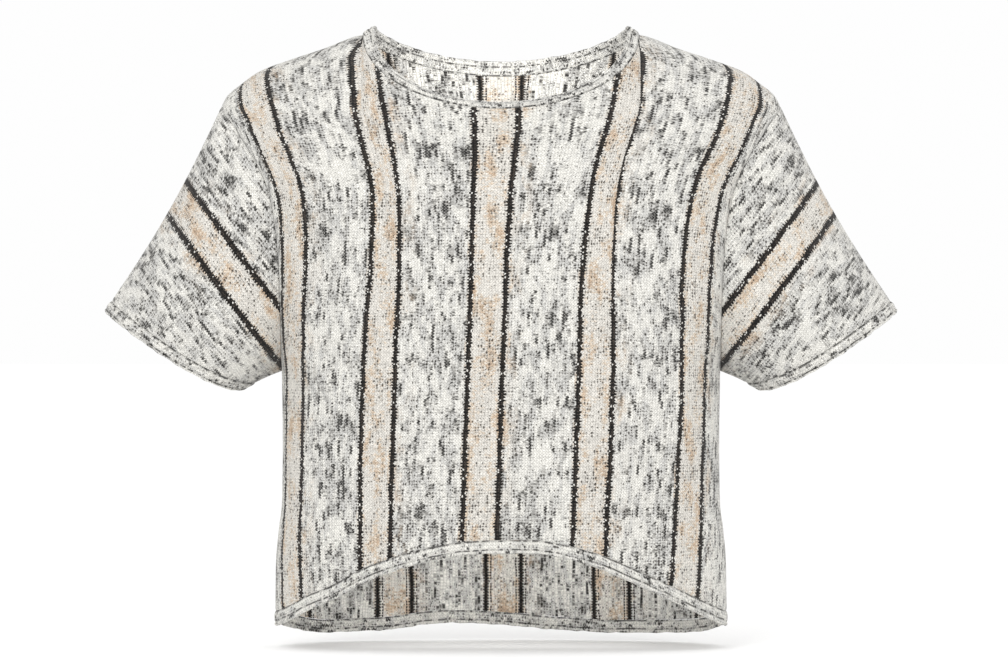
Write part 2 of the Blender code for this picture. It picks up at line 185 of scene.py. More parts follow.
def eased(places, values, at):
    """A smooth curve through a table's points, with no overshoot between them."""
    x, y = np.asarray(places, float), np.asarray(values, float)
    step = np.diff(x)
    slope = np.diff(y) / step
    tangent = np.zeros_like(y)
    before, after = slope[:-1], slope[1:]
    turns = before * after <= 0
    safe_before, safe_after = np.where(turns, 1, before), np.where(turns, 1, after)
    weight_before, weight_after = 2 * step[1:] + step[:-1], step[1:] + 2 * step[:-1]
    mean = (weight_before + weight_after) / (weight_before / safe_before + weight_after / safe_after)
    tangent[1:-1] = np.where(turns, 0, mean)
    tangent[0], tangent[-1] = slope[0], slope[-1]
    at = np.clip(at, x[0], x[-1])
    cell = np.clip(np.searchsorted(x, at) - 1, 0, len(step) - 1)
    t = (at - x[cell]) / step[cell]
    start = y[cell] + t * t * (3 - 2 * t) * (y[cell + 1] - y[cell])
    bend = t * (1 - t) ** 2 * tangent[cell] - t * t * (1 - t) * tangent[cell + 1]
    return start + bend * step[cell]


def folds_at(folds, across, height):
    """How far the cloth falls in at a point, from all the folds of its panel."""
    total = np.zeros(np.broadcast(across, height).shape)
    for middle, level, lean, half_length, half_width, depth in folds:
        cosine, sine = math.cos(math.radians(lean)), math.sin(math.radians(lean))
        dx, dz = across - middle, height - level
        along = dz * cosine - dx * sine
        aside = dx * cosine + dz * sine
        total += depth * np.exp(-((along / half_length) ** 2) - (aside / half_width) ** 2)
    return total


# Slight unevenness of the hanging knit: a wave's length across and along, its start and its height.
RIPPLES = (
    (71, 160, 0.4, 0.55),
    (43, -230, 2.1, 0.40),
    (118, 67, 4.0, 0.45),
    (29, 95, 1.3, 0.22),
    (-37, 41, 5.2, 0.18),
    (19, -33, 3.3, 0.12),
)
RIPPLE_SHIFT = {"front": 0.0, "back": 1.7, "sleeve": 0.9}
RIPPLES_SET_IN = 1 / 8  # share of a sleeve over which they grow from nothing at the armhole


def ripples_at(across, height, shift):
    """How far the cloth stands out at a point, from all the ripples."""
    total = np.zeros(np.broadcast(across, height).shape)
    for width, length, start, rise in RIPPLES:
        total += rise * np.sin(math.tau * (across / width + height / length) + start + shift)
    return total


def depth_at(side, across, height):
    """Distance of the cloth's outer face from the middle plane; side is front or back."""
    out = np.abs(across)
    half_width = eased(SIDES["height"], SIDES["half_width"], height)
    oval = (1 - np.clip(out / half_width, 0, 1) ** OVAL) ** (1 / OVAL)
    below_ridge = (eased(RIDGE["out"], RIDGE["height"], out) - height) / SHOULDER_ROUNDING
    rounding = np.sqrt(1 - (1 - np.clip(below_ridge, 0, 1)) ** 2)
    folds = FRONT_FOLDS if side == "front" else BACK_FOLDS
    uneven = folds_at(folds, across, height) - ripples_at(across, height, RIPPLE_SHIFT[side])
    whole = eased(DEPTHS["height"], DEPTHS[side], height) - uneven
    return whole * oval * rounding


def neckline(side, across):
    """Height of the neckband's seam."""
    inside = np.clip(1 - (across / NECK_HALF_WIDTH) ** 2, 0, 1)
    if side == "front":
        return NECK_TOP - FRONT_NECK_DROP * np.sqrt(inside)
    return NECK_TOP - BACK_NECK_DROP * inside ** (BACK_NECK_SHAPE / 2)


def column_places():
    """Each column's place across a panel, as a share of the distance from the middle to the edge."""
    corner = NECK_HALF_WIDTH / SIDES["edge"][-1]
    turn = np.linspace(0, math.pi / 2, SHOULDER_COLUMNS + 1)[1:]
    outer = corner + (1 - corner) * np.sin(turn)
    middle = corner * np.sin(np.linspace(-math.pi / 2, math.pi / 2, NECK_COLUMNS + 1))
    return np.concatenate([-outer[::-1], middle, outer])


def at_height(places, height):
    """Distance of a panel's columns from the middle at a height."""
    return places * eased(SIDES["height"], SIDES["edge"], height)


def top_heights(side, places):
    """Where each column meets the neckline or the shoulder line."""
    height = np.zeros_like(places)
    for _ in range(TOP_PASSES):
        across = at_height(places, height)
        in_neck = np.abs(across) < NECK_HALF_WIDTH - 1e-6
        shoulder = eased(RIDGE["out"], RIDGE["height"], np.abs(across))
        wanted = np.where(in_neck, neckline(side, across), shoulder)
        height = 0.5 * (height + wanted)
    return height


def hem_heights(hem, places):
    """Lower edge of the hem band, and the height that the band takes up, for each column."""
    low = np.full_like(places, hem["height"][0])
    for _ in range(HEM_PASSES):
        low = eased(hem["across"], hem["height"], at_height(places, low))
    across = at_height(places, low)
    slope = np.gradient(low, across)
    return low, HEM_BAND_HEIGHT * np.sqrt(1 + slope**2)


def placed(side, places, heights):
    """Points on the outer face of a panel, for an array of columns and heights."""
    across = at_height(places, heights)
    depth = np.maximum(depth_at(side, across, heights), GAP / 2)
    return np.stack([across, -depth if side == "front" else depth, heights], axis=-1)


def panel_grid(side, places):
    """Outer points of a panel with its hem band: rows from the hem to the top, columns left to right."""
    top = top_heights(side, places)
    low, band_height = hem_heights(FRONT_HEM if side == "front" else BACK_HEM, places)
    seam = low + band_height
    band = low + band_height * (1 - np.array(BAND_ROWS)[:0:-1, None])
    lower = seam + (ARMPIT_HEIGHT - seam) * np.linspace(0, 1, ROWS_BELOW_ARMPIT + 1)[:-1, None]
    above = 1 - (1 - np.linspace(0, 1, ROWS_ABOVE_ARMPIT + 1)[:, None]) ** CLUSTER_AT_TOP
    heights = np.concatenate([band, lower, ARMPIT_HEIGHT + (top - ARMPIT_HEIGHT) * above])
    return placed(side, np.broadcast_to(places, heights.shape), heights)


def unit(vectors):
    return vectors / np.maximum(np.linalg.norm(vectors, axis=-1, keepdims=True), 1e-9)


def level_part(vectors):
    return vectors * np.array([1, 1, 0])


def faces_out(grid, ring=False):
    """Unit normals of a grid of points. Rows run up and columns to the right, seen from outside."""
    up = np.gradient(grid, axis=0)
    if ring:
        right = np.roll(grid, -1, axis=1) - np.roll(grid, 1, axis=1)
    else:
        right = np.gradient(grid, axis=1)
    return unit(np.cross(right, up))


def keep_to_side(side, points):
    """Stops a panel's points half a gap short of the middle plane, where front meets back."""
    points = points.copy()
    if side == "front":
        points[..., 1] = np.minimum(points[..., 1], -GAP / 2)
    else:
        points[..., 1] = np.maximum(points[..., 1], GAP / 2)
    return points


def travelled(grid, axis):
    """Length of cloth passed along a grid's rows or columns."""
    step = np.linalg.norm(np.diff(grid, axis=axis), axis=-1)
    start = np.zeros_like(np.take(step, [0], axis=axis))
    return np.concatenate([start, np.cumsum(step, axis=axis)], axis=axis)


def add(name, data):
    """A new object in the scene."""
    thing = bpy.data.objects.new(name, data)
    bpy.context.scene.collection.objects.link(thing)
    return thing


def wall_faces(rows, columns, ring):
    """Faces of a closed wall between two grids, the row and column of their corners, and how many are outer.

    The faces come in the order outer, inner, rim. A ring's last column joins its first.
    """
    second = rows * columns
    span = columns if ring else columns - 1
    row, column = np.meshgrid(np.arange(rows - 1), np.arange(span), indexing="ij")
    row, column = row.ravel(), column.ravel()
    onward = (column + 1) % columns
    corners = np.stack([row * columns + column, row * columns + onward,
                        (row + 1) * columns + onward, (row + 1) * columns + column], axis=1)
    places = np.stack([np.stack([row, column], 1), np.stack([row, column + 1], 1),
                       np.stack([row + 1, column + 1], 1), np.stack([row + 1, column], 1)], axis=1)
    rims, rim_places = [], []
    for edge in (0, rows - 1):
        for at in range(span):
            rims.append((edge * columns + at, edge * columns + (at + 1) % columns))
            rim_places.append(((edge, at), (edge, at + 1)))
    if not ring:
        for edge in (0, columns - 1):
            for at in range(rows - 1):
                rims.append((at * columns + edge, (at + 1) * columns + edge))
                rim_places.append(((at, edge), (at + 1, edge)))
    rims, rim_places = np.array(rims), np.array(rim_places)
    rim_faces = np.stack([rims[:, 0], rims[:, 0] + second, rims[:, 1] + second, rims[:, 1]], axis=1)
    faces = np.concatenate([corners, corners[:, ::-1] + second, rim_faces])
    grid_places = np.concatenate([places, places[:, ::-1], rim_places[:, [0, 0, 1, 1]]])
    return faces, grid_places, len(corners)


def shell(name, outside, inside, stitches, materials, ring=False):
    """One closed wall between two grids of points, with its stitch counts as the map Knit.

    A ring's stitch counts have one column more than its points. The last material is for the inside.
    """
    rows, columns = outside.shape[:2]
    faces, grid_places, outer_count = wall_faces(rows, columns, ring)
    points = np.concatenate([outside.reshape(-1, 3), inside.reshape(-1, 3)]) * MM
    mesh = bpy.data.meshes.new(name)
    mesh.from_pydata(points.tolist(), [], faces.tolist())
    knit_map = mesh.uv_layers.new(name="Knit")
    counts = stitches[grid_places[..., 0], grid_places[..., 1]]
    knit_map.data.foreach_set("uv", counts.reshape(-1))
    bake_map = mesh.uv_layers.new(name="OFBake")
    span = columns if ring else columns - 1
    bake_map.data.foreach_set("uv", chart(grid_places, outer_count, rows, span).reshape(-1))
    for material in materials:
        mesh.materials.append(material)
    face_material = np.zeros(len(faces), int)
    face_material[outer_count : 2 * outer_count] = len(materials) - 1
    mesh.polygons.foreach_set("material_index", face_material)
    shaped = bmesh.new()
    shaped.from_mesh(mesh)
    bmesh.ops.recalc_face_normals(shaped, faces=shaped.faces)
    shaped.to_mesh(mesh)
    shaped.free()
    mesh.shade_smooth()
    mesh.set_sharp_from_angle(angle=math.radians(SHARP_EDGE))
    return add(name, mesh)


# The bake's chart, in shares of its side: the margin at its edges, where the outer and the inner face
# start, their height, and the strip of the rim.
CHART_MARGIN = 0.01
CHART_OUTER, CHART_INNER, CHART_HEIGHT = 0.01, 0.49, 0.46
CHART_RIM = (0.97, 0.985)


def chart(places, face_count, rows, span):
    """A flat layout of the faces: the outer face below, the inner face above it and the rim on top."""
    flat = np.empty(places.shape, float)
    width = 1 - 2 * CHART_MARGIN
    up = CHART_HEIGHT * places[..., 0] / (rows - 1)
    inner = slice(face_count, 2 * face_count)
    flat[..., 0] = CHART_MARGIN + width * places[..., 1] / span
    flat[:face_count, :, 1] = CHART_OUTER + up[:face_count]
    flat[inner, :, 1] = CHART_INNER + up[inner]
    rim_count = len(places) - 2 * face_count
    stretch = np.arange(rim_count)[:, None] + np.array([0, 0, 1, 1])
    low, high = CHART_RIM
    flat[2 * face_count :, :, 0] = CHART_MARGIN + width * stretch / rim_count
    flat[2 * face_count :, :, 1] = np.array([low, high, high, low])
    return flat


def round_armhole(grids, armpit, column):
    """The points of a seam ring from the shoulder tip down the front edge and up the back edge."""
    down = grids["front"][armpit:, column][::-1]
    up = grids["back"][armpit:, column][1:-1]
    ring = np.concatenate([down, up])
    ring[[0, ROWS_ABOVE_ARMPIT], 1] = 0
    return ring


def round_neck(grids):
    """The points of the neckline from its left corner over the front and back over the back."""
    first, last = SHOULDER_COLUMNS, SHOULDER_COLUMNS + NECK_COLUMNS
    ring = np.concatenate([grids["front"][-1, first:last], grids["back"][-1, last:first:-1]])
    ring[[0, NECK_COLUMNS], 1] = 0
    return ring


def halves(ring, corner):
    """A seam ring's front half and back half, each from one corner to the other."""
    return ring[: corner + 1], np.roll(ring, -corner, axis=0)[: corner + 1]


def cuff_rim(turn, sign):
    """Points of the rim at an angle round it, from the top over the front to the underarm and the back."""
    top, bottom = np.array(CUFF_TOP), np.array(CUFF_BOTTOM)
    reach = (top - bottom) / 2
    outward = unit(np.array([-reach[1], reach[0]]))
    outward = -outward * np.sign(outward[1])
    sine, cosine = np.sin(turn), np.cos(turn)
    dip = np.where(sine > 0, CUFF_DIP["front"], CUFF_DIP["back"]) * np.abs(sine)
    in_view = (top + bottom) / 2 + cosine[:, None] * reach
    in_view = in_view + (dip * (1 - CUFF_DIP_SKEW * cosine))[:, None] * outward
    return np.stack([sign * in_view[:, 0], -CUFF_HALF_DEPTH * sine, in_view[:, 1]], axis=-1)


def sleeve_grid(ring, sign):
    """Outer points of a sleeve with its cuff band: rows from the armhole to the rim, columns round it."""
    step = np.linalg.norm(np.roll(ring, -1, axis=0) - ring, axis=-1)
    passed = np.concatenate([[0], np.cumsum(step)[:-1]])
    half = passed[ROWS_ABOVE_ARMPIT]
    rest = step.sum() - half
    turn = np.where(passed <= half, passed / half, 1 + (passed - half) / rest) * math.pi
    rim = cuff_rim(turn, sign)
    length = np.linalg.norm(rim - ring, axis=-1)
    seam = 1 - CUFF_BAND_WIDTH / length
    sleeve = np.linspace(0, 1, SLEEVE_ROWS + 1)[:, None] * seam
    band = seam + (1 - seam) * np.array(BAND_ROWS)[1:, None]
    share = np.concatenate([sleeve, band])
    grid = ring + (rim - ring) * share[..., None]
    swell = np.sin(math.pi * share)
    uneven = ripples_at(grid[..., 0], grid[..., 2], RIPPLE_SHIFT["sleeve"])
    uneven = uneven * np.clip(share / RIPPLES_SET_IN, 0, 1)
    grid[..., 1] -= (swell * SLEEVE_FULLNESS + uneven) * np.sin(turn)
    over = np.clip(np.cos(turn), 0, 1) ** 2 * SLEEVE_FLARE
    under = np.clip(-np.cos(turn), 0, 1) ** 2 * UNDERARM_SAG
    across = unit(np.array([sign * (CUFF_TOP[0] - CUFF_BOTTOM[0]), 0, CUFF_TOP[1] - CUFF_BOTTOM[1]]))
    return grid - (swell * (over + under))[..., None] * across


# The free edge of a band waves in and out a little: length and height of each wave.
EDGE_WAVES = ((9.5, 0.14), (14.3, 0.20), (23.9, 0.24))


def frayed(grid):
    """A band's grid with an uneven free edge."""
    along = travelled(grid, 1)[-1]
    wave = sum(rise * np.sin(math.tau * along / length + length) for length, rise in EDGE_WAVES)
    share = np.array(BAND_ROWS)[:, None, None] ** 3
    return grid + share * wave[:, None] * unit(grid[-1] - grid[0])


def band_walls(grid, out):
    """The two faces of a band whose rows run from its seam to its free edge: proud, with a rolled edge."""
    grid = frayed(grid)
    puff = BAND_PUFF * np.array(BAND_SECTION["puff"])[:, None, None]
    closing = np.clip((np.array(BAND_ROWS)[:, None, None] - EDGE_TURN) / (1 - EDGE_TURN), 0, 1) ** 2
    return grid + puff * out, grid - WALL * (1 - EDGE_CLOSING * closing) * out


def apart_at_seam(band, piece, band_in, piece_in):
    """Moves the two rows of points that meet at a seam apart along the cloth, outer and inner alike."""
    along = unit(piece[1] - piece[0])
    for rows, way in ((band, -1), (band_in, -1), (piece, 1), (piece_in, 1)):
        rows[0] = rows[0] + way * GAP / 2 * along


def mitred(ring, out, next_out, onward):
    """The two faces' points where two walls meet at an angle, and the step across half the gap."""
    shared = unit(out + next_out)
    half_angle = np.clip(np.sum(shared * out, axis=-1, keepdims=True), LEAST_MITRE, 1)
    along = np.roll(ring, -1, axis=0) - np.roll(ring, 1, axis=0)
    away = unit(np.cross(along, shared))
    away *= np.sign(np.sum(away * onward, axis=-1, keepdims=True))
    return ring - SEAM_DIP * shared, ring - WALL / half_angle * shared, away * GAP / 2


def sleeve_walls(ring, body_out, sign):
    """Faces of a sleeve and of its cuff, and the seam that it shares with the panels."""
    grid = sleeve_grid(ring, sign)
    out = faces_out(grid, ring=True)
    out *= np.sign(np.sum(out * (grid - grid.mean(axis=1, keepdims=True))))
    seam_out, seam_in, step = mitred(ring, body_out, out[0], grid[1] - grid[0])
    inside = grid - WALL * out
    grid[0], inside[0] = seam_out + step, seam_in + step
    sleeve, sleeve_in = grid[: SLEEVE_ROWS + 1][::-1].copy(), inside[: SLEEVE_ROWS + 1][::-1].copy()
    sleeve[0] -= SEAM_DIP * out[SLEEVE_ROWS]
    cuff, cuff_in = band_walls(grid[SLEEVE_ROWS:], out[SLEEVE_ROWS:])
    apart_at_seam(cuff, sleeve, cuff_in, sleeve_in)
    return (sleeve, sleeve_in), (cuff, cuff_in), (seam_out - step, seam_in - step)


def neckband_walls(ring, body_out):
    """Faces of the neckband, which rolls in towards the neck, and the seam it shares with the panels."""
    along = unit(np.roll(ring, -1, axis=0) - np.roll(ring, 1, axis=0))
    reaches = np.array([NECK_HALF_WIDTH, NECK_DEPTH, 1])
    oval = level_part(ring) / reaches
    inward = -unit(oval / reaches)
    lift = np.radians(eased((-1, 0, 1), NECKBAND_LIFT, unit(oval)[:, 1]))[:, None]
    settled = np.cos(lift) * inward + np.sin(lift) * np.array([0, 0, 1.0])
    level = unit(np.cross(along, body_out))
    level *= np.sign(np.sum(level * settled, axis=-1, keepdims=True))
    place, reached = ring, 0
    rows, out = [], []
    for share in BAND_ROWS:
        reach = NECKBAND_WIDTH * share
        turned = min(1, reach / NECKBAND_TURN)
        heading = unit(level * (1 - turned) + settled * turned)
        place = place + heading * (reach - reached)
        reached = reach
        normal = unit(np.cross(heading, along))
        rows.append(place)
        out.append(normal * np.sign(np.sum(normal * body_out, axis=-1, keepdims=True)))
    seam_out, seam_in, step = mitred(ring, body_out, out[1], rows[1] - rows[0])
    band, band_in = band_walls(np.array(rows), np.array(out))
    band[0], band_in[0] = seam_out + step, seam_in + step
    return (band, band_in), (seam_out - step, seam_in - step)


# The wale at which each piece's pattern starts, so that no two pieces have the same flecks.
PATTERN_START = {
    "front_panel": 0, "back_panel": 1000, "sleeve_left": 2000, "sleeve_right": 3000, "cuff_left": 3500,
    "cuff_right": 4500, "neckband": 5000, "front_hem_band": 6000, "back_hem_band": 7000,
}


def panel_stitches(side, grid, armpit):
    """Course and wale of each point of a panel, counted along the cloth from its middle pair of stripes."""
    along, across = travelled(grid, 0), travelled(grid, 1)
    wales = (along - along[armpit]) / WALE + PATTERN_START[f"{side}_panel"]
    run, height = COURSE_RUN[side], grid[..., 2]
    from_middle = grid[..., 0] - eased(run["height"], run["middle"], height)
    width = np.where(from_middle < 0, eased(run["height"], run["left"], height),
                     eased(run["height"], run["right"], height))
    middle = [[np.interp(0, *row)] for row in zip(from_middle, across)]
    courses = FIRST_STRIPE + PAIR / 2 + (across - middle) / width
    return np.stack([courses, wales], axis=-1)


def sleeve_stitches(grid, name):
    """Course and wale of each point of a sleeve, whose columns start at the underarm and go up the back.

    A course lies in a slanted plane, and the wales are counted round its oval section from the top.
    """
    near, far = SLEEVE_STRIPES[name]
    distance = SLEEVE_SLANT[0] * np.abs(grid[..., 0]) - SLEEVE_SLANT[1] * grid[..., 2]
    down = -SLEEVE_SLANT[1] * np.abs(grid[..., 0]) - SLEEVE_SLANT[0] * grid[..., 2]
    courses = FIRST_STRIPE + PAIR * (distance - near) / (far - near)
    ends = []
    for column in (grid.shape[1] - ROWS_ABOVE_ARMPIT, 0):
        order = np.argsort(distance[:, column])
        ends.append(np.interp(distance, distance[order, column], down[order, column]))
    top, bottom = ends
    upward = (top + bottom - 2 * down) / (bottom - top)
    turn = np.arctan2(-grid[..., 1] / SLEEVE_SECTION["half_depth"], upward)
    turn[:, 0] = -math.pi
    wales = turn * SLEEVE_SECTION["radius"] / WALE + PATTERN_START[f"sleeve_{name}"]
    round_once = math.tau * SLEEVE_SECTION["radius"] / WALE
    counts = np.stack([courses, wales], axis=-1)
    return np.concatenate([counts, counts[:, :1] + np.array([0, round_once])], axis=1)


def band_stitches(grid, start, ring=False):
    """Courses across a band and wales along it."""
    if ring:
        grid = np.concatenate([grid, grid[:, :1]], axis=1)
    along = travelled(grid, 1)
    middle = along[len(along) // 2]
    courses = travelled(grid, 0) / COURSE
    return np.stack([courses, np.broadcast_to(middle / WALE + start, courses.shape)], axis=-1)


# Each noise in the knit: its grain in courses and in wales, its start, its detail and its roughness. The
# starts differ so that no two noises agree, apart from the two dabs, which are never in one material.
NOISES = {
    "wander": (4.8, 6.2, 0, 3, 0.5),
    "jitter": (1.1, 1.25, 7, 2, 0.5),
    "streak": (2.5, 8.0, 3, 3, 0.6),
    "patch": (13.3, 20.0, 11, 2, 0.5),
    "dab": (0.74, 1.05, 5, 2, 0.6),
    "dab_inside": (0.62, 3.1, 5, 2, 0.6),
    "run": (1.6, 7.1, 13, 2, 0.5),
    "warm_blotch": (5.3, 12.5, 31, 3, 0.6),
    "warm_dab": (1.0, 1.3, 61, 2, 0.6),
    "warm_tinge": (6.2, 14.3, 41, 3, 0.65),
    "ragged_edge": (0.62, 0.62, 51, 2, 0.5),
}

# How each tone lies on the yarn: the values at which it sets in and is full, and how much it covers then.
TONES = {
    "haze": (0.42, 0.60, 1.0),
    "grey_dab": (0.15, 0.25, 0.62),
    "dark_dab": (0.25, 0.33, 0.92),
    "grey_leg": (0.54, 0.61, 0.7),
    "dark_leg": (0.60, 0.66, 0.95),
    "tan": (0.47, 0.62, 1.0),
    "rust": (0.57, 0.72, 0.8),
    "warm_fleck": (0.10, 0.26, 0.55),
    "tinge": (0.45, 0.60, 1.0),
}


class Nodes:
    """Short calls for building one material's nodes."""

    def __init__(self, name):
        self.material = bpy.data.materials.new(name)
        self.material.use_nodes = True
        self.tree = self.material.node_tree
        self.shader = self.tree.nodes["Principled BSDF"]

    def feed(self, socket, value):
        if isinstance(value, bpy.types.NodeSocket):
            self.tree.links.new(value, socket)
        elif isinstance(value, tuple) and len(value) == 3 and socket.type == "RGBA":
            socket.default_value = (*value, 1)
        else:
            socket.default_value = value

    def math(self, operation, *values, clamp=False):
        node = self.tree.nodes.new("ShaderNodeMath")
        node.operation, node.use_clamp = operation, clamp
        for socket, value in zip(node.inputs, values):
            self.feed(socket, value)
        return node.outputs[0]

    def times(self, first, second):
        return self.math("MULTIPLY", first, second)

    def centred(self, value):
        return self.math("SUBTRACT", value, 0.5)

    def smooth(self, value, low, high):
        """0 at low, 1 at high and an eased step between them; low may be over high."""
        node = self.tree.nodes.new("ShaderNodeMapRange")
        node.interpolation_type = "SMOOTHSTEP"
        turned = low > high
        for name, given in (("Value", value), ("From Min", min(low, high)), ("From Max", max(low, high)),
                            ("To Min", 1.0 if turned else 0.0), ("To Max", 0.0 if turned else 1.0)):
            self.feed(node.inputs[name], given)
        return node.outputs["Result"]

    def combine(self, x, y, z=0.0):
        node = self.tree.nodes.new("ShaderNodeCombineXYZ")
        for socket, value in zip(node.inputs, (x, y, z)):
            self.feed(socket, value)
        return node.outputs[0]

    def cover(self, value, name):
        """How much of a point a tone covers."""
        low, high, most = TONES[name]
        return self.times(self.smooth(value, low, high), most)

    def sum(self, first, *others):
        """The first value and, on top of it, each of the others times its weight."""
        for value, weight in others:
            first = self.math("ADD", first, self.times(value, weight))
        return first

    def noise(self, x, y, name, length=1.0):
        """Noise about 0.5, its grain drawn out along the wales by the given length."""
        courses, wales, start, detail, roughness = NOISES[name]
        node = self.tree.nodes.new("ShaderNodeTexNoise")
        node.noise_dimensions = "3D"
        place = self.combine(self.times(x, 1 / courses), self.times(y, 1 / (wales * length)), start)
        self.feed(node.inputs["Vector"], place)
        self.feed(node.inputs["Scale"], 1.0)
        self.feed(node.inputs["Detail"], detail)
        self.feed(node.inputs["Roughness"], roughness)
        return node.outputs["Fac"]

    def chance(self, x, y):
        """A number from 0 to 1 of its own for each whole x and y."""
        node = self.tree.nodes.new("ShaderNodeTexWhiteNoise")
        node.noise_dimensions = "2D"
        self.feed(node.inputs["Vector"], self.combine(x, y))
        return node.outputs["Value"]

    def mix(self, share, first, second, blend="MIX"):
        node = self.tree.nodes.new("ShaderNodeMix")
        node.data_type, node.blend_type = "RGBA", blend
        self.feed(node.inputs["Factor"], share)
        self.feed(node.inputs[6], first)
        self.feed(node.inputs[7], second)
        return node.outputs[2]


SCREEN_GAMMA = 2.2


def linear(red, green, blue):
    """A colour as the shader takes it, from one as a screen shows it in 0 to 255."""
    return tuple((part / 255) ** SCREEN_GAMMA for part in (red, green, blue))


WHITE = linear(232, 230, 223)
SOFT_GREY = linear(205, 204, 200)
CREAM = linear(223, 219, 211)
TAN = linear(216, 200, 180)
RUST = linear(188, 161, 135)
FLECK = linear(138, 136, 132)
# Dark yarn flecks; the same colour paints the shade at a band's seam and in its groove.
DARK_FLECK_AND_SEAM_SHADE = linear(50, 49, 47)
BLACK = linear(9, 8, 7)
# The painted highlight on the crest of a stripe's legs.
BROWN_BLACK_HIGHLIGHT = linear(84, 76, 69)
# Painted shade in the holes and gaps of the knit, multiplied into the colour.
PAINTED_HOLE_SHADE = linear(88, 84, 80)
LEG_TONES = ((0.86, 0.86, 0.86), (1.10, 1.10, 1.10))  # each leg's own, darkest and lightest

# The stitch, in courses and wales.
WALE_JITTER = 0.7
LEG_SLANT, LEG_SLANT_INSIDE = 0.6, 0.12  # courses that a leg climbs from the point of the V
LEG_ROUNDING = 0.6  # exponent; smaller is fuller
LEG_THINNEST = 0.3  # at its ends, as a share of its middle
HOLE_WANDER = (0.5, 0.4)  # spread of the holes' places across and along


class Stitch:
    """Where a point lies in its stitch. A course is counted across the stripes and a wale along them."""

    def __init__(self, n, inside):
        counts = n.tree.nodes.new("ShaderNodeUVMap")
        counts.uv_map = "Knit"
        split = n.tree.nodes.new("ShaderNodeSeparateXYZ")
        n.feed(split.inputs[0], counts.outputs[0])
        course, wale = split.outputs[0], split.outputs[1]

        # Stitches wander a little from their rows.
        wander = n.centred(n.noise(course, wale, "wander"))
        self.course = n.math("ADD", course, wander)
        jitter = n.centred(n.noise(course, wale, "jitter"))
        self.wale = n.math("ADD", wale, n.times(jitter, WALE_JITTER))

        # A stitch is a V of two legs. Each leg is round across its course and thins out at both ends.
        turned = n.math("SUBTRACT", n.times(n.math("FRACT", self.wale), 2.0), 1.0)
        self.from_middle = n.math("ABSOLUTE", turned)
        slant = LEG_SLANT_INSIDE if inside else LEG_SLANT
        self.slanted = n.math("ADD", self.course, n.times(self.from_middle, slant))
        self.number = n.math("FLOOR", self.slanted)
        self.wale_number = n.math("FLOOR", self.wale)
        self.leg_number = n.math("FLOOR", n.times(self.wale, 2.0))
        in_course = n.math("SUBTRACT", n.times(n.math("FRACT", self.slanted), 2.0), 1.0)
        legs = n.times(self.wale, 1.0 if inside else 2.0)
        in_leg = n.math("SUBTRACT", n.times(n.math("FRACT", legs), 2.0), 1.0)
        round_leg = n.math("MAXIMUM", n.math("SUBTRACT", 1.0, n.times(in_course, in_course)), 0.0)
        along_leg = n.math("SUBTRACT", 1.0, n.math("ABSOLUTE", in_leg))
        full = n.times(n.math("POWER", along_leg, LEG_ROUNDING), 1 - LEG_THINNEST)
        thick = n.math("ADD", LEG_THINNEST, full)
        self.relief = n.times(n.math("POWER", round_leg, LEG_ROUNDING), thick)
        self.luck = n.chance(self.number, self.leg_number)

        # The hole beside each stitch, at a place of its own.
        luck = n.chance(n.math("FLOOR", self.course), n.math("ADD", self.wale_number, 0.5))
        aside = n.centred(n.sum(n.math("FRACT", self.course), (n.centred(luck), HOLE_WANDER[0])))
        along = n.centred(n.sum(n.math("FRACT", self.wale), (n.centred(self.luck), HOLE_WANDER[1])))
        self.from_hole = n.math("SQRT", n.math("ADD", n.times(aside, aside), n.times(along, along)))
        self.hole_luck = luck


def melange(n, at, inside, fleck_length, darker):
    """Off-white yarn with grey haze and dark flecks that come in streaks, and how dark it is there."""
    streak = n.noise(at.slanted, at.wale, "streak", fleck_length)
    patch = n.centred(n.noise(at.course, at.wale, "patch"))
    dark = n.math("ADD", n.sum(streak, (patch, 0.40)), darker)
    dab = n.noise(at.slanted, at.wale, "dab_inside" if inside else "dab")
    fleck = n.sum(n.centred(dab), (n.centred(at.luck), 0.16), (n.centred(dark), 0.95))
    colour = n.mix(n.cover(dark, "haze"), WHITE, SOFT_GREY)
    colour = n.mix(n.cover(fleck, "grey_dab"), colour, FLECK)
    colour = n.mix(n.cover(fleck, "dark_dab"), colour, DARK_FLECK_AND_SEAM_SHADE)

    # Whole legs of dark yarn, one above the other.
    run = n.noise(at.number, at.wale, "run", fleck_length)
    run = n.math("ADD", n.sum(run, (patch, 0.30), (n.centred(at.luck), 0.12)), darker)
    leg = n.smooth(at.relief, 0.15, 0.48)
    colour = n.mix(n.times(n.cover(run, "grey_leg"), leg), colour, FLECK)
    colour = n.mix(n.times(n.cover(run, "dark_leg"), leg), colour, DARK_FLECK_AND_SEAM_SHADE)
    return colour, dark, fleck


TINGE_REACH = 9.0  # courses over which warm patches fade out beyond a stripe
WARM_EDGE = 0.6  # courses to each side of a stripe's middle over which the warm colour starts


def warmed(n, at, colour, fleck, reach):
    """Cream and tan between the stripes of a pair, and in patches just outside it."""
    blotch = n.noise(at.course, at.wale, "warm_blotch")
    dabs = n.centred(n.noise(at.slanted, at.wale, "warm_dab"))
    blotch = n.sum(blotch, (n.centred(at.luck), 0.14), (dabs, 0.35))
    warm = n.mix(n.cover(blotch, "tan"), CREAM, TAN)
    warm = n.mix(n.cover(blotch, "rust"), warm, RUST)
    warm = n.mix(n.cover(fleck, "warm_fleck"), warm, FLECK)
    tinge = n.cover(n.noise(at.course, at.wale, "warm_tinge"), "tinge")
    tinge = n.times(tinge, n.smooth(reach, PAIR / 2 + TINGE_REACH, PAIR / 2))
    between = n.smooth(reach, PAIR / 2 + WARM_EDGE, PAIR / 2 - WARM_EDGE)
    share = n.math("MAXIMUM", between, tinge)
    return n.mix(share, colour, warm)


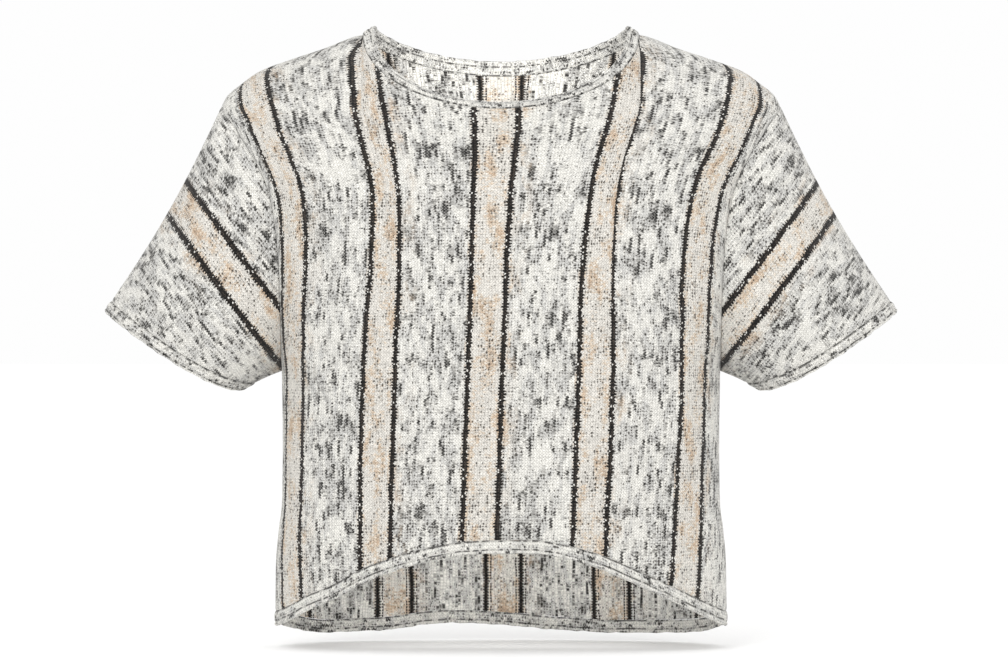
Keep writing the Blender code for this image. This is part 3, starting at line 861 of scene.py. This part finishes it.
# A stripe's outline, in courses from its middle.
STRIPE_HALF_WIDTH = 0.68  # without the lobes at its edges
SLEEVE_STRIPE_HALF_WIDTH = 0.84
LOBE_LENGTH = 0.80
RAGGEDNESS = 0.8
INK_EDGE, INK_EDGE_INSIDE = 0.14, 0.12  # how soft its edge is
BEAD_NARROW, BEAD_SWELL = 0.50, 0.75  # inside: half width between two stitches, and how much wider at one
DASH_DISTANCE = 1.75  # inside: the broken row on each side of a stripe
DASHES_MISSING = 0.18  # share of them


def ink_inside(n, at, off, own):
    """A stripe from the inside: a beaded line with a row of dashes on each side."""
    beads = n.sum(BEAD_NARROW, (n.math("SUBTRACT", 1.0, at.from_middle), BEAD_SWELL))
    line = n.smooth(n.math("SUBTRACT", off, beads), INK_EDGE_INSIDE, -INK_EDGE_INSIDE)
    dashed = n.smooth(n.math("ABSOLUTE", n.math("SUBTRACT", off, DASH_DISTANCE)), 0.34, 0.16)
    dashed = n.times(dashed, n.smooth(at.from_middle, 0.85, 0.65))
    return n.math("MAXIMUM", line, n.times(dashed, n.math("GREATER_THAN", own, DASHES_MISSING)))


def stripe_ink(n, at, reach, inside, half_width):
    """How much of a point is covered by a stripe: a dark line with short lobes on both sides."""
    off = n.math("ABSOLUTE", n.math("SUBTRACT", reach, PAIR / 2))
    side = n.math("FLOOR", n.math("ADD", n.times(at.course, 0.5), 0.25))
    own = n.chance(at.wale_number, side)
    if inside:
        return ink_inside(n, at, off, own)
    ragged = n.centred(n.noise(at.course, at.wale, "ragged_edge"))
    lobe = n.times(n.smooth(at.from_middle, 0.95, 0.35), n.math("ADD", n.times(own, 0.9), 0.15))
    edge = n.sum(half_width, (lobe, LOBE_LENGTH), (ragged, RAGGEDNESS))
    return n.smooth(n.math("SUBTRACT", off, edge), INK_EDGE, -INK_EDGE)


CORD_GROOVE = 3.25  # courses from a band's seam to the groove above the cord at its free edge


def painted_seam_shade(n, at):
    """Painted shade in short dark dashes beside a band's seam and in the groove above its cord."""
    seam = n.smooth(at.course, 0.75, 0.35)
    groove = n.smooth(n.math("ABSOLUTE", n.math("SUBTRACT", at.course, CORD_GROOVE)), 0.42, 0.15)
    dashes = n.sum(0.25, (n.smooth(n.chance(at.wale_number, 9.0), 0.40, 0.70), 0.75))
    return n.times(n.math("MAXIMUM", seam, groove), dashes)


HOLE_SMALLEST, HOLE_GROWTH = -0.03, 0.44  # radius in stitches; the smallest is a faint dot


def hole_shade(n, at, dark):
    """How much painted shade falls in the hole beside a stitch and in the gap between two legs. Holes are
    wider in grey yarn.
    """
    growth = n.times(at.hole_luck, n.smooth(dark, 0.22, 0.66))
    size = n.sum(HOLE_SMALLEST, (growth, HOLE_GROWTH))
    hole = n.smooth(n.math("SUBTRACT", at.from_hole, size), 0.09, -0.07)
    return n.math("MAXIMUM", n.times(hole, 0.95), n.times(n.smooth(at.relief, 0.70, 0.15), 0.45))


SINGLE_PAIR_REPEAT = 400.0  # courses, so many that a sleeve shows one pair only
KNIT_SURFACE = {
    "Roughness": 0.88, "Sheen Weight": 0.12, "Sheen Roughness": 0.5, "Specular IOR Level": 0.25,
}
BUMP_STRENGTH = 0.7
BUMP_HEIGHT = 0.0009  # metres


def knit_material(name, striped, stripe=STRIPE_HALF_WIDTH, single_pair=False, inside=False,
                  fleck_length=1.0, darker=0.0):
    """Slub melange jersey, coloured by its stitch counts."""
    n = Nodes(name)
    at = Stitch(n, inside)
    colour, dark, fleck = melange(n, at, inside, fleck_length, darker)
    if striped:
        repeat = SINGLE_PAIR_REPEAT if single_pair else float(REPEAT)
        offset = repeat / 2 if single_pair else 0.0
        turned = n.math("FLOORED_MODULO", n.math("ADD", at.course, offset + 0.5), repeat)
        place = n.math("SUBTRACT", turned, offset + 0.5)
        reach = n.math("ABSOLUTE", n.math("SUBTRACT", place, FIRST_STRIPE + PAIR / 2))
        colour = warmed(n, at, colour, fleck, reach)
        # A stripe's black, with a painted highlight in brown-black on the crest of each leg, stronger on
        # some legs than on others at random.
        ink = n.mix(n.times(at.luck, n.smooth(at.relief, 0.4, 0.95)), BLACK, BROWN_BLACK_HIGHLIGHT)
    else:
        # Painted shade along a band's seam and in the groove above its cord, broken into dashes.
        colour = n.mix(n.times(painted_seam_shade(n, at), 0.85), colour, DARK_FLECK_AND_SEAM_SHADE)

    # Painted shade in the holes and in the gaps between legs darkens the colour.
    hole = n.times(hole_shade(n, at, dark), 0.8 if inside else 1.0)
    colour = n.mix(hole, colour, n.mix(1.0, colour, PAINTED_HOLE_SHADE, "MULTIPLY"))
    if striped:
        light_dot = n.times(n.smooth(at.from_hole, 0.34, 0.22), n.math("LESS_THAN", at.hole_luck, 0.15))
        ink = n.mix(n.times(light_dot, 0.0 if inside else 0.95), ink, WHITE)
        colour = n.mix(stripe_ink(n, at, reach, inside, stripe), colour, ink)
    tone = n.chance(n.math("ADD", at.number, 0.5), n.math("ADD", at.leg_number, 0.5))
    colour = n.mix(1.0, colour, n.mix(tone, *LEG_TONES), "MULTIPLY")

    bump = n.tree.nodes.new("ShaderNodeBump")
    n.feed(bump.inputs["Strength"], BUMP_STRENGTH)
    n.feed(bump.inputs["Distance"], BUMP_HEIGHT)
    n.feed(bump.inputs["Height"], at.relief)
    n.feed(n.shader.inputs["Normal"], bump.outputs[0])
    n.feed(n.shader.inputs["Base Color"], colour)
    for socket, value in KNIT_SURFACE.items():
        n.shader.inputs[socket].default_value = value
    return n.material


def dress(piece, node):
    """Ties a finished piece to the body and hides the part of model.glb that it stands for."""
    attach(piece, "root")
    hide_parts(node)


def build_sleeves(outer, inner, out, armpit, face, purl, band_face):
    """Both sleeves with their cuffs; moves the panels' edges to the seams."""
    for name, sign, column in (("left", -1, 0), ("right", 1, -1)):
        ring = round_armhole(outer, armpit, column)
        body_out = unit(round_armhole(out, armpit, column))
        sleeve, cuff, seam = sleeve_walls(ring, body_out, sign)
        from_underarm = [np.roll(points, -ROWS_ABOVE_ARMPIT, axis=1) for points in sleeve]
        counts = sleeve_stitches(from_underarm[0], name)
        piece = shell(f"knit_sleeve_{name}", *from_underarm, counts, (face, purl), ring=True)
        dress(piece, f"sleeve_{name}")
        counts = band_stitches(cuff[0], PATTERN_START[f"cuff_{name}"], ring=True)
        piece = shell(f"knit_cuff_{name}", *cuff, counts, (band_face,), ring=True)
        dress(piece, f"cuff_{name}")
        for grids, points in zip((outer, inner), seam):
            down, up = halves(points, ROWS_ABOVE_ARMPIT)
            grids["front"][armpit:, column] = down[::-1]
            grids["back"][armpit:, column] = up


def build_neckband(outer, inner, out, band_face):
    """The neckband; moves the panels' top edges to its seam."""
    neckband, seam = neckband_walls(round_neck(outer), unit(round_neck(out)))
    counts = band_stitches(neckband[0], PATTERN_START["neckband"], ring=True)
    piece = shell("knit_neckband", *neckband, counts, (band_face,), ring=True)
    dress(piece, "neckband")
    first, last = SHOULDER_COLUMNS, SHOULDER_COLUMNS + NECK_COLUMNS
    for grids, points in zip((outer, inner), seam):
        front, back = halves(points, NECK_COLUMNS)
        grids["front"][-1, first : last + 1] = front
        grids["back"][-1, first : last + 1] = back[::-1]


def build_panels(outer, inner, out, stitches, band_end, face, purl, band_face):
    """The front and the back, each with its hem band."""
    for side in outer:
        band, band_in = band_walls(outer[side][band_end::-1], out[side][band_end::-1])
        panel, panel_in = outer[side][band_end:].copy(), inner[side][band_end:].copy()
        panel[0] -= SEAM_DIP * out[side][band_end]
        apart_at_seam(band, panel, band_in, panel_in)
        piece = shell(f"knit_{side}_panel", keep_to_side(side, panel), keep_to_side(side, panel_in),
                      stitches[side][band_end:], (face, purl))
        dress(piece, f"{side}_panel")
        counts = band_stitches(band, PATTERN_START[f"{side}_hem_band"])
        piece = shell(f"knit_{side}_hem_band", keep_to_side(side, band), keep_to_side(side, band_in),
                      counts, (band_face,))
        dress(piece, f"{side}_hem_band")


def build_jumper():
    face = knit_material("striped_knit_face", striped=True)
    purl = knit_material("striped_knit_inside", striped=True, inside=True, darker=0.03)
    sleeve_face = knit_material("sleeve_knit_face", striped=True, stripe=SLEEVE_STRIPE_HALF_WIDTH,
                                single_pair=True, darker=0.008)
    sleeve_purl = knit_material("sleeve_knit_inside", striped=True, single_pair=True, inside=True)
    band_face = knit_material("band_knit_face", striped=False, fleck_length=0.5, darker=-0.01)
    places = column_places()
    band_end = len(BAND_ROWS) - 1
    armpit = band_end + ROWS_BELOW_ARMPIT
    outer = {side: panel_grid(side, places) for side in ("front", "back")}
    out = {"front": faces_out(outer["front"]), "back": -faces_out(outer["back"])}
    inner = {side: keep_to_side(side, outer[side] - WALL * out[side]) for side in outer}
    stitches = {side: panel_stitches(side, outer[side], armpit) for side in outer}
    build_sleeves(outer, inner, out, armpit, sleeve_face, sleeve_purl, band_face)
    build_neckband(outer, inner, out, band_face)
    build_panels(outer, inner, out, stitches, band_end, face, purl, band_face)


# The stage, in metres and watts.
FLOOR_HEIGHT = -0.509
FLOOR_REACH = 40.0
FLOOR_COLOUR = (0.91, 0.91, 0.91, 1)
FLOOR_GLOW = 0.12
ROOM_LIGHT = 0.99
LIT_POINT = (0, 0, -0.25)
SOFTBOXES = (
    {"name": "key", "place": (-1.1, -2.8, 1.8), "size": 1.6, "power": 37},
    {"name": "fill", "place": (1.6, -2.9, 0.9), "size": 1.8, "power": 23},
)
LAMPS_INSIDE = (
    {"place": (0, -0.03, -0.075), "width": 0.20, "height": 0.06, "power": 0.19},
    {"place": (0, -0.03, -0.42), "width": 0.28, "height": 0.10, "power": 0.13},
)
CAMERA_PLACE = (0.0025, -4.0, -0.25)
CAMERA_LENS = 171.43  # mm, on a sensor 36 mm wide


def build_stage():
    """A wide white floor just under the hem; the white room round it makes the rest of the background."""
    far = FLOOR_REACH
    points = [(x, y, FLOOR_HEIGHT) for x, y in ((-far, -far), (far, -far), (far, far), (-far, far))]
    mesh = bpy.data.meshes.new("backdrop")
    mesh.from_pydata(points, [], [(0, 1, 2, 3)])
    material = bpy.data.materials.new("backdrop_white")
    material.use_nodes = True
    shader = material.node_tree.nodes["Principled BSDF"]
    shader.inputs["Base Color"].default_value = FLOOR_COLOUR
    shader.inputs["Roughness"].default_value = 1.0
    shader.inputs["Specular IOR Level"].default_value = 0.0
    shader.inputs["Emission Color"].default_value = (1, 1, 1, 1)
    shader.inputs["Emission Strength"].default_value = FLOOR_GLOW
    mesh.materials.append(material)
    backdrop = add("backdrop", mesh)


def build_softbox(name, place, size, power):
    """A square lamp that faces the garment."""
    light = bpy.data.lights.new(name, "AREA")
    light.shape, light.size, light.energy = "SQUARE", size, power
    lamp = add(name, light)
    lamp.location = place
    way = np.array(LIT_POINT) - np.array(place)
    tilt = math.acos(-way[2] / np.linalg.norm(way))
    lamp.rotation_euler = (tilt, 0, math.atan2(way[1], way[0]) - math.pi / 2)


def build_lamp_inside(place, width, height, power):
    """A faint lamp that faces the inside of the back, for the light that comes through the open knit."""
    light = bpy.data.lights.new("inside", "AREA")
    light.shape, light.size, light.size_y, light.energy = "RECTANGLE", width, height, power
    lamp = add("inside", light)
    lamp.location = place
    lamp.rotation_euler = (math.radians(90), 0, 0)
    lamp.visible_camera = False


def build_light_and_camera():
    scene = bpy.context.scene
    world = bpy.data.worlds.new("white_room")
    world.use_nodes = True
    world.node_tree.nodes["Background"].inputs["Color"].default_value = (1, 1, 1, 1)
    world.node_tree.nodes["Background"].inputs["Strength"].default_value = ROOM_LIGHT
    scene.world = world
    scene.view_settings.view_transform = "Standard"
    scene.view_settings.look = "None"
    for softbox in SOFTBOXES:
        build_softbox(**softbox)
    for lamp in LAMPS_INSIDE:
        build_lamp_inside(**lamp)
    camera = bpy.data.cameras.new("camera")
    camera.sensor_width = 36.0
    camera.lens = CAMERA_LENS
    camera.clip_end = 100.0
    viewer = add("camera", camera)
    viewer.location = CAMERA_PLACE
    viewer.rotation_euler = (math.radians(90), 0, 0)
    scene.camera = viewer


build_jumper()
build_stage()
build_light_and_camera()
